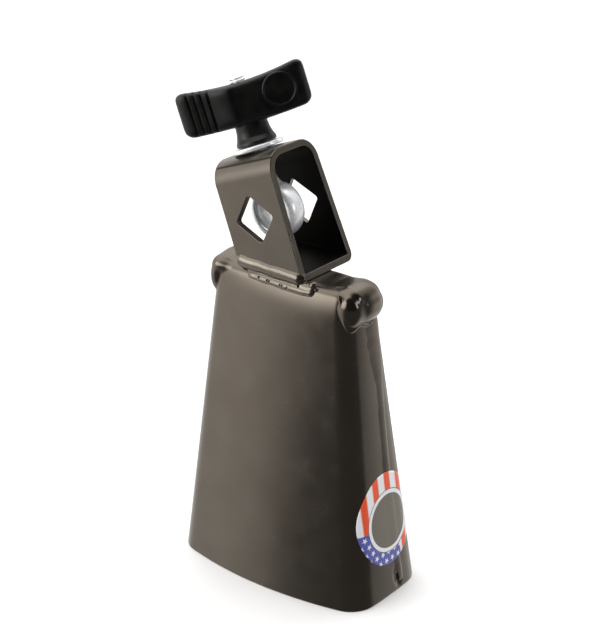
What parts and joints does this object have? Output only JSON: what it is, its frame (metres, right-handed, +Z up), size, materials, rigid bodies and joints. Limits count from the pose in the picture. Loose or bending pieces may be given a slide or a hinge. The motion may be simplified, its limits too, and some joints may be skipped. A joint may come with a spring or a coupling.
{
  "type": "cowbell",
  "caption": "Mountable hand-made style steel cowbell with a leaning strap bracket, self-aligning eye bolt, washer and wing nut for a round rod.",
  "frame": {"origin": "centre of the open mouth on the plane the rim stands on", "axes": "+Z up from the mouth to the closed top, +X along the wide faces away from the bracket's lean, -Y out of the front wide face"},
  "size_m": [0.0968, 0.0534, 0.2034],
  "materials": {
    "bell_paint": "satin black-brown lacquer on steel sheet",
    "bracket_paint": "satin black lacquer on steel strap",
    "weld_paint": "glossier black lacquer over weld and braze metal",
    "zinc_plate": "bright zinc plate",
    "grip_plastic": "semi-gloss moulded black plastic",
    "insert_steel": "plain turned steel",
    "label_paper": null
  },
  "bodies": {
    "bell": {"bell_shell": "bell_paint", "side_seam_right": "weld_paint", "side_seam_left": "weld_paint", "corner_fold_right": "weld_paint", "corner_fold_left": "weld_paint", "mount_bracket": "bracket_paint", "foot_weld_front": "weld_paint", "foot_weld_rear": "weld_paint", "round_label": "label_paper"},
    "wing_nut": {"wing_nut_grip": "grip_plastic", "wing_nut_insert": "insert_steel"},
    "clamp_bolt": {"eye_bolt": "zinc_plate"},
    "washer": {"flat_washer": "zinc_plate"}
  },
  "joints": [
    {"name": "wing_nut_turn", "type": "hinge", "parent": "bell", "child": "wing_nut", "pos_m": [-0.02187, 0.004, 0.17547], "axis": [-0.3616, 0, 0.9323], "range_deg": [-1080.5, 720.5]},
    {"name": "clamp_bolt_slide", "type": "slide", "parent": "bell", "child": "clamp_bolt", "axis": [-0.3616, 0, 0.9323], "range_m": [-0.00254, 0.00381]},
    {"name": "washer_spin", "type": "hinge", "parent": "bell", "child": "washer", "pos_m": [-0.02187, 0.004, 0.17547], "axis": [-0.3616, 0, 0.9323], "continuous": true}
  ],
  "couplings": [
    {"joint": "wing_nut_turn", "follows": "clamp_bolt_slide", "rad_per_m": -4947.4}
  ]
}
